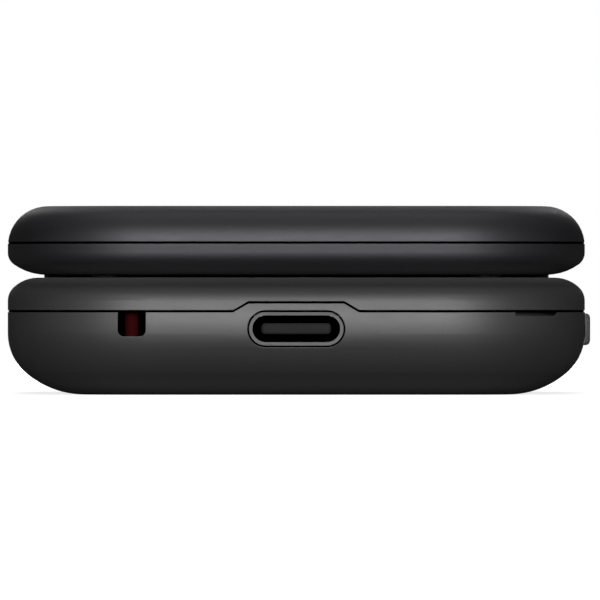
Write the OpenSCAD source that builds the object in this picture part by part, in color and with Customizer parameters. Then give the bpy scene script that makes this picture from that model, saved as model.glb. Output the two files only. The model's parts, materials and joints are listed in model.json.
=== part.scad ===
// Clamshell mobile phone, closed, lying on its back.
// X runs across the phone, Y from the chin to the hinge, Z up from the rest face.
// The origin is the middle of the flat rest face. Millimetres.

/* [Body] */
// Width across the two halves
body_w = 55; // [53:0.5:60]
// Length from the chin to the back of the hinge barrel
body_l = 106; // [104:0.5:116]
// Radius in plan of the corners at the chin
chin_corner_r = 13.5; // [10:0.5:16]
// Radius in plan of the corners at the hinge
end_corner_r = 8; // [7.8:0.1:9]

/* [Base] */
// Thickness of the lower half
base_t = 11.14; // [11:0.02:12.4]
// Height of the seam round the lower half
base_seam = 7.95; // [7.8:0.05:8.1]
// Dark gap left along every seam
seam_gap = 0.2; // [0.1:0.02:0.26]
// Depth of that gap, behind which the edges meet
seam_groove = 0.2; // [0.15:0.05:0.4]
// Wall of the back cover
back_wall = 1.1; // [0.9:0.05:1.2]
// Side wall of the front housing
front_wall = 1.4; // [1.3:0.05:1.6]
// Top wall of the front housing, round the keys
front_top = 1.1; // [0.9:0.05:1.2]
// How far the round under the back reaches in
back_round_w = 7.3; // [6.5:0.1:8]
// How high the round under the back rises
back_round_h = 5.8; // [5.2:0.1:6.2]
// Radius of that round where it meets the side
back_round_r = 4.9; // [4.2:0.1:5]
// How far the round over the keypad face reaches in
face_round_w = 2.87; // [2.6:0.05:3.1]
// How high that round is
face_round_h = 2.2; // [2.1:0.05:2.4]

/* [Lid] */
// Gap between the closed halves
lid_gap = 0.27; // [0.25:0.01:0.4]
// Thickness of the lid
lid_t = 6.54; // [6.5:0.02:7.4]
// Height of the lid seam above the lid's inner face
lid_seam_h = 3.04; // [2.9:0.02:3.2]
// Wall of the lid shells
lid_wall = 1.2; // [1:0.05:1.3]
// Radius round the top of the lid
lid_round_r = 3.8; // [3.6:0.1:4.2]
// How far the round under the lid reaches in
inner_round_w = 3.63; // [3.4:0.05:3.8]
// How high that round is
inner_round_h = 2.1; // [2:0.05:2.3]

/* [Hinge] */
// Radius of the hinge barrel
barrel_r = 4.8; // [4.6:0.05:5]
// Half length of the lid's middle knuckle
knuckle_half = 15; // [13.5:0.25:16]
// Distance from the side of the phone to the end of the outer knuckle
ear_inset = 3.5; // [3.1:0.1:4.5]
// Height of the hinge axis above the keypad face
axis_rise = 1.46; // [1.4:0.02:1.8]
// Running gap round the barrel
hinge_gap = 0.3; // [0.2:0.05:0.4]
// Gap between neighbouring knuckles
knuckle_gap = 0.2; // [0.12:0.02:0.3]
// Diameter of the hollow hinge pin
pin_d = 4; // [3.8:0.1:4.4]
// Diameter of the sprung cam cartridge
cartridge_d = 6; // [5.6:0.1:6.4]
// Diametral play of the turning parts
running_play = 0.1; // [0.06:0.02:0.16]

/* [Keypad] */
// Distance from the side of the phone to the outer keys
key_margin = 4.6; // [4.2:0.1:5.4]
// Gap between the key columns
column_gap = 1.6; // [1.4:0.1:2.2]
// Gap between the key rows
row_gap = 1.8; // [1.4:0.1:2.4]
// Distance from the chin to the lowest row
keypad_inset = 11.2; // [10.5:0.1:12.5]
// Distance from the hinge axis to the navigation ring
nav_inset = 19; // [18.5:0.25:20]
// Gap round each key
key_play = 0.2; // [0.14:0.02:0.3]
// Height of the key crowns above the keypad face
key_proud = 0.1; // [0:0.02:0.14]
// Width of the navigation ring
nav_w = 24; // [23:0.25:24.5]
// Height of the navigation ring
nav_h = 21; // [20:0.25:21.5]
// Width of the middle key
ok_w = 10; // [9:0.25:11]
// Height of the middle key
ok_h = 9; // [8:0.25:10]

/* [Chin] */
// Width over the socket shell
port_w = 8.94; // [8.8:0.02:9.1]
// Height over the socket shell
port_h = 3.16; // [3.1:0.02:3.3]
// Thickness of the socket shell
port_wall = 0.3; // [0.25:0.05:0.4]
// Height of the socket's middle above the rest face
port_z = 6.28; // [6.2:0.02:6.36]
// Gap round the socket in the cover
port_gap = 0.18; // [0.12:0.02:0.24]
// Rise of the seam over the socket
jog_h = 0.84; // [0.8:0.02:0.9]
// Distance of the strap slot from the middle
strap_x = 15.6; // [14.5:0.1:16]
// Width of the strap slot
strap_w = 2.67; // [2.4:0.05:3]
// Depth of the strap slot below the seam
strap_h = 2.4; // [2.2:0.1:2.6]
// Diameter of the strap post
post_d = 1.25; // [1.1:0.05:1.5]

/* [Side key] */
// Length of the volume key
side_key_l = 22; // [20:0.5:24]
// Height of the volume key
side_key_h = 3.1; // [2.8:0.05:3.2]
// How far the volume key stands out
side_key_proud = 0.5; // [0.3:0.05:0.7]

/* [Battery] */
// Room on each side of the battery
battery_side = 5.5; // [5.4:0.05:6.5]
// Length of the battery
battery_l = 54; // [50:0.5:55]
// Thickness of the battery
battery_t = 4.8; // [4.6:0.05:4.9]

/* [Screens] */
// Distance from the side of the phone to the inner window
pane_side = 4.1; // [4:0.1:5]
// Distance from the chin to the inner window
pane_chin = 13.5; // [13:0.25:15]
// Distance from the end of the phone to the inner window
pane_end = 21.5; // [21:0.25:24]
// Width of the outer window
outer_pane_w = 36; // [34:0.5:40]
// Length of the outer window
outer_pane_l = 50; // [47:0.5:52]
// Diameter of the camera ring
camera_ring_d = 9; // [8.4:0.2:10]

/* [Hidden] */
$fn = 96;

// Plan of both halves
half_w = body_w / 2;
chin_y = -body_l / 2;
hinge_y = body_l / 2 - barrel_r;
end_y = hinge_y - 0.3;
chin_x = half_w - chin_corner_r;
chin_path_y = chin_y + chin_corner_r;
end_x = half_w - end_corner_r;
end_path_y = end_y - end_corner_r;

// Edge rounds: reach in, height, radius where the round meets the side
back_edge = [back_round_w, back_round_h, back_round_r];
face_edge = [face_round_w, face_round_h, 0.8 * face_round_h];
inner_edge = [inner_round_w, inner_round_h, 0.65 * inner_round_h];
lid_edge = [lid_round_r, lid_round_r, 0.8 * lid_round_r];

// Heights of the two halves
lid_z = base_t + lid_gap;
lid_seam = lid_z + lid_seam_h;
lid_top = lid_z + lid_t;
hinge_z = base_t + axis_rise;
trough_r = barrel_r + hinge_gap;
ear_in = knuckle_half + knuckle_gap;
ear_half = half_w - ear_inset;
ear_slot = ear_half + knuckle_gap;
// The lid stops this far in front of the axis, beside the outer knuckles
lid_end_y = hinge_y - 0.58 * barrel_r;

// Stack in the base, from the rest face up
battery_z = back_wall + 0.4;
floor_z = battery_z + battery_t + 0.2;
floor_t = 0.9;
board_z = floor_z + floor_t + 0.1;
board_end_y = hinge_y - 6.6;
board_t = 0.8;
can_h = 1.2;
board_top = board_z + board_t;
dome_h = 0.2;
dome_sheet_t = 0.1;
mat_z = board_top + dome_sheet_t + dome_h;
mat_t = 0.4;
mat_top = mat_z + mat_t;
wall_under = base_t - front_top;

// Lip behind the base seam
lip_t = 0.8;
lip_in = back_wall + 0.15;
lip_drop = 1.6;
lid_lip_rise = 0.45;

// Clips on the cover that snap into windows in the lip
clip_places = [-30, -8, 31];
clip_l = 5;
clip_h = 0.55;
clip_reach = 0.55;
clip_z = base_seam - 1;
clip_play = 0.1;

// Ribs on the cover's floor, under the battery
rib_w = 0.8;
rib_h = 0.3;

// Keys
key_travel = 0.25;
key_z = mat_top + key_travel + 0.1;
key_r = 2;
key_crown_r = 110;
nav_crown_r = 280;
flange = 0.45;
nav_y = hinge_y - nav_inset - nav_h / 2;
nav_r = 6;
nav_gap = 1.2;
ok_r = 3;
ok_gap = 0.25;
clear_w = 15;
clear_h = 6.6;
clear_y = nav_y - nav_h / 2 - 2 - clear_h / 2;
key_w = (body_w - 2 * key_margin - 2 * column_gap) / 3;
key_h = (clear_y - clear_h / 2 - 1.6 - chin_y - keypad_inset - 3 * row_gap) / 4;
column_pitch = key_w + column_gap;
row_pitch = key_h + row_gap;
row_4_y = chin_y + keypad_inset + key_h / 2;
menu_w = half_w - key_margin + 0.5 - nav_w / 2 - nav_gap;
menu_h = (nav_h - 1.4) / 2;
menu_x = nav_w / 2 + nav_gap + menu_w / 2;
pad_end_y = nav_y + nav_h / 2;

// Chin
shell_l = 7.3;
shell_set = 0.2;
jog_foot = 5.97;
jog_top = 4.54;
notch_x = [half_w - 6.7, half_w - 2.2];
notch_h = 0.45;
post_y = chin_path_y
    - sqrt(pow(chin_corner_r - back_wall - 0.3 - post_d / 2, 2) - pow(max(0, strap_x - chin_x), 2));
post_z = base_seam - strap_h - 0.9;
pocket_d = 2.5;
pocket_wall = 0.8;

// Volume key
side_key_y = 12;
side_key_z = base_seam - 0.22 - side_key_h / 2;
side_play = 0.15;

// Battery bay, which ends at the contacts
battery_w = body_w - 2 * battery_side;
battery_end = hinge_y - 27.2;
battery_y = battery_end - battery_l / 2;
bay_rib = 1;
bay_play = 0.3;

// Screws
screw_d = 1.6;
screw_head_d = 2.8;
screw_head_h = 0.7;
screw_drive_d = 1.4;
boss_r = 1.9;
chin_screw = [half_w - 9.5, chin_y + 7];
end_screw = [half_w - 6, end_y - 11.5];

// Parts under the board: between the middle and the end screws, and between the socket and the chin screws
under_out = end_screw.x - 3;
can_in = 2.5;
card_in = 2.3;
card_w = under_out + 0.2 - card_in;
card_slot = (card_w - 2.4) / 2;
under_y = hinge_y - 16.4;
under_l = 15;
chin_in = port_w / 2 + 2.33;
chin_out = chin_screw.x - 2.4;
chin_y_mid = chin_y + 12;
antenna_l = 12;
antenna_t = 0.15;

// Loudspeaker
speaker_in = 1.5;
speaker = [under_out - speaker_in, 12];
speaker_at = [(under_out + speaker_in) / 2, hinge_y - 15.2];
speaker_z = back_wall + 0.2;
speaker_t = board_z - can_h - 0.2 - speaker_z;

// Lid contents
pane_t = 0.8;
pane_w = body_w - 2 * pane_side;
pane_l = body_l - pane_chin - pane_end;
pane_y = chin_y + pane_chin + pane_l / 2;
view_w = pane_w - 3.6;
view_l = pane_l - 13.4;
view_y = pane_y - 1;
lid_floor = lid_z + lid_wall;
display_t = 1.6;
display_w = view_w + 2.8;
display_l = view_l + 4.4;
display_z = lid_floor + 0.05;
lid_board_z = display_z + display_t + 0.05;
lid_board_t = 0.6;
outer_pane_t = 0.75;
outer_pane_y = hinge_y - 11.7 - outer_pane_l / 2;
outer_display_t = 1.2;
outer_display_z = lid_top - lid_wall - 0.05 - outer_display_t;
outer_display_w = outer_pane_w - 5.4;
outer_display_l = outer_pane_l - 15;
outer_display_y = outer_pane_y - 6.5;
camera_y = outer_pane_y + outer_pane_l / 2 - 6.2;
camera_w = 6.4;
camera_seat = 0.7;
camera_glass_t = 0.4;
flash_x = 9;
earpiece_y = chin_y + 8.2;

// Hinge parts
cam_x = 10;
pin_in = 6;
pin_out = ear_half - 5;
pin_wall = 0.5;
cap_t = 1.2;

// Radius of the flatter arc of an edge round, tangent to both the flat and the first arc
function flat_arc_r(edge) =
    (edge.x * edge.x + edge.y * edge.y - 2 * edge.x * edge.z) / (2 * (edge.y - edge.z));

// A quarter of an oval made of two tangent arcs, in the first quadrant
module quarter_oval(edge) {
    big = flat_arc_r(edge);
    run = edge.x - edge.z;
    drop = big - edge.y;
    far = 60;
    intersection() {
        square([edge.x, edge.y]);
        translate([0, -drop]) circle(big);
        union() {
            translate([run, 0]) circle(edge.z);
            polygon([[0, -drop], [far * run, (far - 1) * drop], [0, far * big]]);
        }
    }
}

// Section of a half, from the sweep path at X = 0 to the outside, all edges set in by inset
module edge_profile(z0, z1, low, high, inset = 0) {
    step = [inset, inset, inset];
    middle = (z0 + low.y + z1 - high.y) / 2;
    translate([end_corner_r - low.x, z0 + low.y]) mirror([0, 1]) quarter_oval(low - step);
    translate([end_corner_r - high.x, z1 - high.y]) quarter_oval(high - step);
    translate([0, z0 + inset]) square([end_corner_r - low.x, middle - z0 - inset]);
    translate([0, middle]) square([end_corner_r - high.x, z1 - inset - middle]);
    translate([0, z0 + low.y]) square([end_corner_r - inset, z1 - high.y - z0 - low.y]);
}

module base_profile(inset = 0) { edge_profile(0, base_t, back_edge, face_edge, inset); }
module lid_profile(inset = 0) { edge_profile(lid_z, lid_top, inner_edge, lid_edge, inset); }

// A band of section space between two heights
module band(z0, z1) { translate([-1, z0]) square([end_corner_r + 2, z1 - z0]); }

// Solid of a plan shape between two heights
module plate(z0, z1) { translate([0, 0, z0]) linear_extrude(z1 - z0) children(); }

// Solid of a shape drawn in X and Z, between two values of Y
module along(y0, y1) { translate([0, y1, 0]) rotate([90, 0, 0]) linear_extrude(y1 - y0) children(); }

// Solid of a shape drawn in Y and Z, between two values of X
module across(x0, x1) { translate([x0, 0, 0]) rotate([90, 0, 90]) linear_extrude(x1 - x0) children(); }

// Cylinder on the hinge axis
module rod(r, x0, x1) {
    translate([x0, hinge_y, hinge_z]) rotate([0, 90, 0]) cylinder(r = r, h = x1 - x0);
}

module block(low, high) { translate(low) cube(high - low); }

// The hinge end of a sweep: end strip and two corners
module around_end() {
    translate([0, end_path_y, 0]) across(-end_x, end_x) children();
    for (side = [0, 1]) mirror([side, 0, 0])
        translate([end_x, end_path_y, 0]) rotate_extrude(angle = 90) children();
}

// A section swept round the whole plan, along a path that lies end_corner_r inside the outline
module around() {
    around_end() children();
    for (side = [0, 1]) mirror([side, 0, 0]) {
        translate([end_x, 0, 0]) along(chin_path_y, end_path_y) children();
        translate([chin_x, chin_path_y, 0]) rotate([0, 0, -90])
            rotate_extrude(angle = 90) translate([chin_corner_r - end_corner_r, 0]) children();
    }
    translate([0, chin_y + end_corner_r, 0]) mirror([0, 1, 0]) across(-chin_x, chin_x) children();
}

// Plan outline of the body, set in
module plan(inset) {
    translate([-half_w + inset, chin_path_y]) square([body_w - 2 * inset, end_path_y - chin_path_y]);
    translate([-chin_x, chin_y + inset]) square([2 * chin_x, chin_corner_r]);
    translate([-end_x, end_path_y - 1]) square([2 * end_x, end_corner_r - inset + 1]);
    for (side = [-1, 1]) {
        translate([side * chin_x, chin_path_y]) circle(chin_corner_r - inset);
        if (end_corner_r > inset) translate([side * end_x, end_path_y]) circle(end_corner_r - inset);
    }
}

// The flat middle, inside the sweep path
module core(z0, z1) {
    plate(z0, z1) {
        translate([-end_x, chin_path_y]) square([2 * end_x, end_path_y - chin_path_y]);
        translate([-chin_x, chin_y + end_corner_r]) square([2 * chin_x, chin_corner_r]);
        for (side = [-1, 1]) translate([side * chin_x, chin_path_y]) circle(chin_corner_r - end_corner_r);
    }
}

module round_rect(w, h, r) {
    square([w - 2 * r, h], center = true);
    square([w, h - 2 * r], center = true);
    for (x = [r - w / 2, w / 2 - r], y = [r - h / 2, h / 2 - r]) translate([x, y]) circle(r);
}

// Slot with full round ends
module stadium(w, h) {
    square([w - h, h], center = true);
    for (x = [h / 2 - w / 2, w / 2 - h / 2]) translate([x, 0]) circle(h / 2);
}

module at_screws() {
    for (side = [-1, 1], spot = [chin_screw, end_screw])
        translate([side * spot.x, spot.y, 0]) children();
}

// Curved wall in Y and Z that follows the barrel at its running gap
module trough_wall(thick) {
    translate([hinge_y, hinge_z]) circle(trough_r + thick);
}

// ---------- Keys ----------

function key_x(column) = (column - 1) * column_pitch;
function row_y(row) = row_4_y + (3 - row) * row_pitch;

// A key: crowned cap in its hole and a flange that holds it under the wall
module key_cap(w, h, r, x, y, flange_top, crown = key_crown_r) {
    top = base_t + key_proud;
    translate([x, y, 0]) intersection() {
        union() {
            plate(key_z, top + 1) round_rect(w, h, r);
            plate(key_z, flange_top) round_rect(w + 2 * flange, h + 2 * flange, r + flange);
        }
        translate([0, 0, top - crown]) sphere(crown, $fn = 600);
    }
}

module plain_key(w, h, x, y, r = key_r) { key_cap(w, h, r, x, y, wall_under - 0.12); }
module number_key(column, row) { color("#2b2b2d") plain_key(key_w, key_h, key_x(column), row_y(row)); }

module nav_ring() {
    color("#38383b") difference() {
        key_cap(nav_w, nav_h, nav_r, 0, nav_y, wall_under - 0.36, nav_crown_r);
        translate([0, nav_y, 0]) plate(key_z - 1, base_t + 1)
            round_rect(ok_w + 2 * ok_gap, ok_h + 2 * ok_gap, ok_r + ok_gap);
        translate([0, nav_y, 0]) plate(key_z - 1, key_z + 0.55)
            round_rect(ok_w + 2 * (ok_gap + flange), ok_h + 2 * (ok_gap + flange), ok_r + ok_gap + flange);
    }
}
module ok_key() { color("#4a4a4e") key_cap(ok_w, ok_h, ok_r, 0, nav_y, key_z + 0.3); }
module menu_key(side, row) {
    plain_key(menu_w, menu_h, side * menu_x, nav_y + (row == 0 ? 1 : -1) * (nav_h - menu_h) / 2);
}
module soft_key_left() { color("#2b2b2d") menu_key(-1, 0); }
module soft_key_right() { color("#2b2b2d") menu_key(1, 0); }
module call_key() { color("#1d5a34") menu_key(-1, 1); }
module end_key() { color("#6b1a1c") menu_key(1, 1); }
module clear_key() { color("#2b2b2d") plain_key(clear_w, clear_h, 0, clear_y); }

// One child per key place
module at_keys() {
    for (row = [0:3], column = [0:2]) translate([key_x(column), row_y(row), 0]) children();
    for (side = [-1, 1], row = [-1, 1])
        translate([side * menu_x, nav_y + row * (nav_h - menu_h) / 2, 0]) children();
    translate([0, clear_y, 0]) children();
    translate([0, nav_y, 0]) children();
    for (side = [-1, 1]) translate([0, nav_y + side * 0.36 * nav_h, 0]) children();
    for (side = [-1, 1]) translate([side * 0.36 * nav_w, nav_y, 0]) children();
}

module key_holes() {
    grow = 2 * key_play;
    plate(wall_under - 1, base_t + 1) {
        for (row = [0:3], column = [0:2]) translate([key_x(column), row_y(row)])
            round_rect(key_w + grow, key_h + grow, key_r + key_play);
        for (side = [-1, 1], row = [-1, 1]) translate([side * menu_x, nav_y + row * (nav_h - menu_h) / 2])
            round_rect(menu_w + grow, menu_h + grow, key_r + key_play);
        translate([0, clear_y]) round_rect(clear_w + grow, clear_h + grow, key_r + key_play);
        translate([0, nav_y]) round_rect(nav_w + grow, nav_h + grow, nav_r + key_play);
    }
}

// ---------- Base ----------

// Room inside the wall for the volume key to rock
module side_key_room(z0, z1) {
    block([half_w - 3, side_key_y - side_key_l / 2 - 1.5, z0],
        [half_w - back_wall, side_key_y + side_key_l / 2 + 1.5, z1]);
}

// Space outside the edges that meet at a seam, up to the top of its groove
module groove(seam) {
    translate([end_corner_r - seam_groove, 0]) square([seam_groove + 1, seam + seam_gap / 2]);
}

// Wall of the front housing, which stands on the cover's edge behind the groove, and the lip inside the cover
module front_section() {
    difference() {
        intersection() { base_profile(); band(base_seam - seam_gap / 2, base_t + 1); }
        base_profile(front_wall);
        translate([-1, 0]) square([end_corner_r - face_round_w + 1, wall_under]);
        groove(base_seam);
    }
    translate([end_corner_r - lip_in - lip_t, base_seam - lip_drop])
        square([lip_t, wall_under - base_seam + lip_drop]);
}

// Space under the raised seam over the socket, lifted by rise
module under_jog(rise) {
    foot = base_seam - seam_gap / 2 + rise;
    polygon([
        [-jog_foot, base_seam - 2], [-jog_foot, foot], [-jog_top, foot + jog_h],
        [jog_top, foot + jog_h], [jog_foot, foot], [jog_foot, base_seam - 2],
    ]);
}

// One child at each clip, on the side with X above 0
module at_clips() { for (y = clip_places) translate([half_w - back_wall, y, clip_z]) children(); }

module front_housing() {
    color("#2a2a2c") difference() {
        union() {
            around() front_section();
            core(wall_under, base_t);
            for (side = [0, 1]) mirror([side, 0, 0]) rod(barrel_r, ear_in, ear_half);
            across(-ear_in - 1, ear_in + 1) intersection() {
                trough_wall(front_top);
                translate([hinge_y - 2 * trough_r, hinge_z - trough_r - front_top])
                    square([2 * trough_r - 1.6, base_t - hinge_z + trough_r + front_top]);
            }
            at_screws() plate(floor_z + floor_t + 0.05, wall_under + 0.2) circle(boss_r);
            translate([-strap_x, post_y, 0]) plate(board_top, wall_under + 0.2) circle(post_d / 2 + 0.7);
        }
        rod(trough_r, -ear_in, ear_in);
        key_holes();
        along(chin_y - 1, chin_y + 3) under_jog(0);
        along(chin_y - 1, chin_y + seam_groove) under_jog(seam_gap);
        // windows in the lip for the clips
        for (side = [0, 1]) mirror([side, 0, 0]) at_clips()
            translate([-lip_in - lip_t, -clip_l / 2 - 3 * clip_play, -clip_play])
                cube([lip_in + lip_t, clip_l + 6 * clip_play, clip_h + 2 * clip_play]);
        // windows in the lip for the socket, the strap and the volume key
        block([-port_w / 2 - 1, chin_y + back_wall, base_seam - 2],
            [port_w / 2 + 1, chin_y + 4, port_z + port_h / 2 + 0.64]);
        block([-strap_x - strap_w / 2 - pocket_wall - 0.2, chin_y, base_seam - 2],
            [-strap_x + strap_w / 2 + pocket_wall + 0.2, chin_y + 5, base_seam - seam_gap / 2]);
        side_key_room(base_seam - 2, base_seam + 0.5);
        at_screws() plate(floor_z, wall_under - 0.1) circle(screw_d / 2);
        translate([-strap_x, post_y, 0]) plate(board_top - 1, wall_under) circle(post_d / 2);
        // microphone hole
        translate([7, chin_y + 6.5, 0]) plate(wall_under - 1, base_t + 1) circle(0.4);
        hinge_bores();
    }
}

// Bores of the outer knuckles
module hinge_bores() {
    rod(1.75, -ear_half + cap_t, -ear_in + 1);
    rod(pin_d / 2, ear_in - 1, pin_out);
    rod(pin_d / 2 - pin_wall, ear_in - 1, ear_half - cap_t);
    // way for the flex from the end of the pin down to the board
    translate([pin_out + 0.2, hinge_y, hinge_z]) rotate([45, 0, 0])
        block([0, -6, -0.6], [2.6, 0, 0.6]);
}

// Everything above the seam line of the cover
module above_seam() {
    along(chin_y - 1, end_y + 1) polygon([
        [-body_w, base_seam - seam_gap / 2], [-jog_foot, base_seam - seam_gap / 2],
        [-jog_top, base_seam + jog_h - seam_gap / 2], [jog_top, base_seam + jog_h - seam_gap / 2],
        [jog_foot, base_seam - seam_gap / 2], [body_w, base_seam - seam_gap / 2],
        [body_w, base_t], [-body_w, base_t],
    ]);
}

module cover_section() {
    difference() {
        intersection() { base_profile(); band(-1, base_seam + jog_h); }
        base_profile(back_wall);
    }
}

// Clip with a flat catch below and a ramp above, from the wall inwards
module clip() {
    translate([0, clip_l / 2, 0]) rotate([90, 0, 0]) linear_extrude(clip_l) polygon([
        [back_wall / 4, 0], [-clip_reach, 0], [-clip_reach, clip_h / 3], [0, clip_h], [back_wall / 4, clip_h],
    ]);
}

module back_cover() {
    slot_bottom = base_seam - strap_h;
    slot_r = 0.6;
    color("#333335") difference() {
        union() {
            around() cover_section();
            core(0, back_wall);
            for (side = [0, 1]) mirror([side, 0, 0]) at_clips() clip();
            for (x = [-12, 0, 12]) translate([x, battery_y, 0]) plate(back_wall / 2, back_wall + rib_h)
                square([rib_w, battery_l - 8], center = true);
        }
        above_seam();
        rod(barrel_r + 0.2, -ear_slot, ear_slot);
        // socket
        along(chin_y - 1, chin_y + 4) translate([0, port_z])
            stadium(port_w + 2 * port_gap, port_h + 2 * port_gap);
        // strap slot, open at the seam
        along(chin_y - 1, chin_y + 5) translate([-strap_x, 0]) {
            translate([0, slot_bottom + strap_h]) square([strap_w, 2 * (strap_h - slot_r)], center = true);
            translate([0, slot_bottom + slot_r]) stadium(strap_w, 2 * slot_r);
        }
        // pry notch
        along(chin_y - 1, chin_y + 11) polygon([
            [notch_x[0], base_seam + 1], [notch_x[0], base_seam - notch_h],
            [notch_x[1] - 0.8, base_seam - notch_h], [notch_x[1] + 0.4, base_seam + 1],
        ]);
        // volume key, open at the seam
        across(half_w - 3, half_w + 1) translate([side_key_y, side_key_z + 2])
            square([side_key_l + 2 * side_play, side_key_h + 4 + 2 * side_play], center = true);
        speaker_slots();
    }
}

module speaker_slots() {
    for (i = [-2:2]) translate([speaker_at.x, speaker_at.y + 1.9 * i, 0])
        plate(-1, back_wall + 1) stadium(9, 0.9);
}

module chassis() {
    bay_w = battery_w / 2 + bay_play;
    bay_l = battery_l / 2 + bay_play;
    color("#1b1b1d") difference() {
        union() {
            plate(floor_z, floor_z + floor_t) intersection() {
                plan(lip_in + lip_t + 0.2);
                translate([-body_w, chin_y]) square([2 * body_w, board_end_y - chin_y]);
            }
            // frame round the battery
            translate([0, battery_y, 0]) plate(floor_z - 3.6, floor_z) difference() {
                square([2 * (bay_w + bay_rib), 2 * (bay_l + bay_rib)], center = true);
                square([2 * bay_w, 2 * bay_l], center = true);
            }
            // cradle of the socket
            block([-port_w / 2 - 1.6, chin_y + 4, port_z - port_h / 2 - 1.2],
                [port_w / 2 + 1.6, chin_y + 8, floor_z]);
            // lug of the strap post, with the walls of its pocket
            translate([-strap_x - strap_w / 2 - pocket_wall, post_y, 0]) {
                plate(post_z - 0.4, floor_z + floor_t)
                    square([strap_w + 2 * pocket_wall, pocket_d + pocket_wall]);
                plate(floor_z, board_top - 0.1) translate([0, 0.8])
                    square([strap_w + 2 * pocket_wall, pocket_d + pocket_wall - 0.8]);
            }
            at_screws() plate(floor_z - 1.2, floor_z) circle(boss_r + 0.4);
        }
        // socket
        along(chin_y, chin_y + 8.1) translate([0, port_z])
            stadium(port_w + 0.1, port_h + 0.1);
        block([-port_w / 2, chin_y, port_z], [port_w / 2, chin_y + 8.1, board_top]);
        // strap pocket, open to the slot, with the post through its floor and roof
        block([-strap_x - strap_w / 2, chin_y, base_seam - strap_h],
            [-strap_x + strap_w / 2, post_y + pocket_d, board_top]);
        at_screws() plate(floor_z + floor_t, board_top) circle(boss_r + 0.1);
        translate([-strap_x, post_y, 0]) plate(post_z, board_top) circle(post_d / 2);
        at_screws() plate(floor_z - 2, board_top) circle(screw_d / 2 + 0.1);
        at_screws() plate(floor_z - 2, floor_z - 0.3) circle(screw_head_d / 2 + 0.1);
        board_parts(0.3, floor_z - 1, board_top);
        plate(floor_z - antenna_t, floor_z) room(chin_in, chin_out, chin_y_mid, antenna_l);
        side_key_room(floor_z - 1, board_top);
        // contact block
        translate([0, battery_y + battery_l / 2 + 1.5, 0]) plate(0, board_z) square([10.4, 4], center = true);
    }
}

// Rectangle between two values of X, l long about a middle in Y, grown by play
module room(x0, x1, y, l, play = 0) {
    translate([x0 - play, y - l / 2 - play]) square([x1 - x0 + 2 * play, l + 2 * play]);
}

// Places of the parts under the board, grown by play
module board_parts(play, z0, z1) {
    plate(z0, z1) {
        room(-chin_out, -chin_in, chin_y_mid, 10, play);
        room(can_in, under_out, under_y, under_l, play);
        room(-card_in - card_w, -card_in, under_y, under_l, play);
    }
}

module battery() {
    color("#3c3c40") translate([0, battery_y, 0]) plate(battery_z, battery_z + battery_t)
        round_rect(battery_w, battery_l, 1.5);
}

module battery_contacts() {
    at_y = battery_y + battery_l / 2 + 0.3;
    color("#c9a227") union() {
        translate([0, at_y + 1.1, 0]) plate(floor_z - 2.6, board_z) square([10, 2.2], center = true);
        for (x = [-3, 0, 3]) translate([x, at_y, 0]) plate(floor_z - 2.4, floor_z - 0.6)
            square([1.2, 0.6], center = true);
    }
}

module main_board() {
    color("#1f5b3a") difference() {
        plate(board_z, board_top) intersection() {
            plan(lip_in + lip_t + 0.3);
            translate([-body_w, chin_y]) square([2 * body_w, board_end_y - chin_y]);
        }
        side_key_room(0, base_t);
        block([-port_w / 2 - 0.15, chin_y, 0],
              [port_w / 2 + 0.15, chin_y + shell_set + shell_l + 0.2, base_t]);
        block([-strap_x - strap_w / 2 - pocket_wall - 0.2, chin_y, 0],
            [-strap_x + strap_w / 2 + pocket_wall + 0.2, post_y + pocket_d + pocket_wall + 0.2, base_t]);
        at_screws() plate(0, base_t) circle(boss_r + 0.2);
    }
}

module shield_cans() {
    color("#b9bcc0") plate(board_z - can_h, board_z) {
        room(-chin_out, -chin_in, chin_y_mid, 10);
        room(can_in, under_out, under_y, under_l);
    }
}

// Two card trays side by side, each with its slot open towards the battery
module card_sockets() {
    color("#a7aaae") translate([-card_in - card_w / 2, under_y, 0]) difference() {
        plate(board_z - 1.6, board_z) square([card_w, under_l], center = true);
        for (side = [-1, 1]) translate([side * (card_slot + 1) / 2, -1, 0]) plate(board_z - 1.3, board_z - 0.5)
            square([card_slot, under_l - 1], center = true);
    }
}

module usb_shell() {
    color("#8f9194") along(chin_y + shell_set, chin_y + shell_set + shell_l) translate([0, port_z])
        difference() {
            stadium(port_w, port_h);
            stadium(port_w - 2 * port_wall, port_h - 2 * port_wall);
        }
}

module usb_tongue() {
    shell_end = chin_y + shell_set + shell_l;
    color("#2a2a2c") union() {
        along(shell_end - 2, shell_end) translate([0, port_z])
            stadium(port_w - 2 * port_wall, port_h - 2 * port_wall);
        along(chin_y + shell_set + 0.9, shell_end - 1) translate([0, port_z]) round_rect(6.6, 0.95, 0.2);
    }
}

module loudspeaker() {
    color("#222224") translate([speaker_at.x, speaker_at.y, 0]) difference() {
        plate(speaker_z, speaker_z + speaker_t) round_rect(speaker.x, speaker.y, 2);
        plate(speaker_z - 1, speaker_z + 0.5) round_rect(speaker.x - 2, speaker.y - 2, 1.5);
    }
}

module speaker_mesh() {
    color("#101011") translate([speaker_at.x, speaker_at.y, 0])
        plate(back_wall, back_wall + 0.12) round_rect(speaker.x - 2, speaker.y - 1, 1.5);
}

module microphone() {
    color("#c3c5c8") translate([7, chin_y + 6.5, 0]) difference() {
        plate(board_top, board_top + 1.1) square([3.8, 3], center = true);
        plate(board_top + 0.6, board_top + 2) circle(0.4);
    }
}

module pad_outline(inset) {
    bottom = row_4_y - key_h / 2 - 1.6 + inset;
    top = pad_end_y + 1.6 - inset;
    translate([0, (bottom + top) / 2])
        round_rect(2 * (column_pitch + key_w / 2 + 1.3 - inset), top - bottom, 2);
}

module dome_sheet() {
    color("#9aa0a6") union() {
        plate(board_top, board_top + dome_sheet_t) pad_outline(0);
        at_keys() plate(board_top, mat_z - 0.05) circle(2);
    }
}

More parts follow.
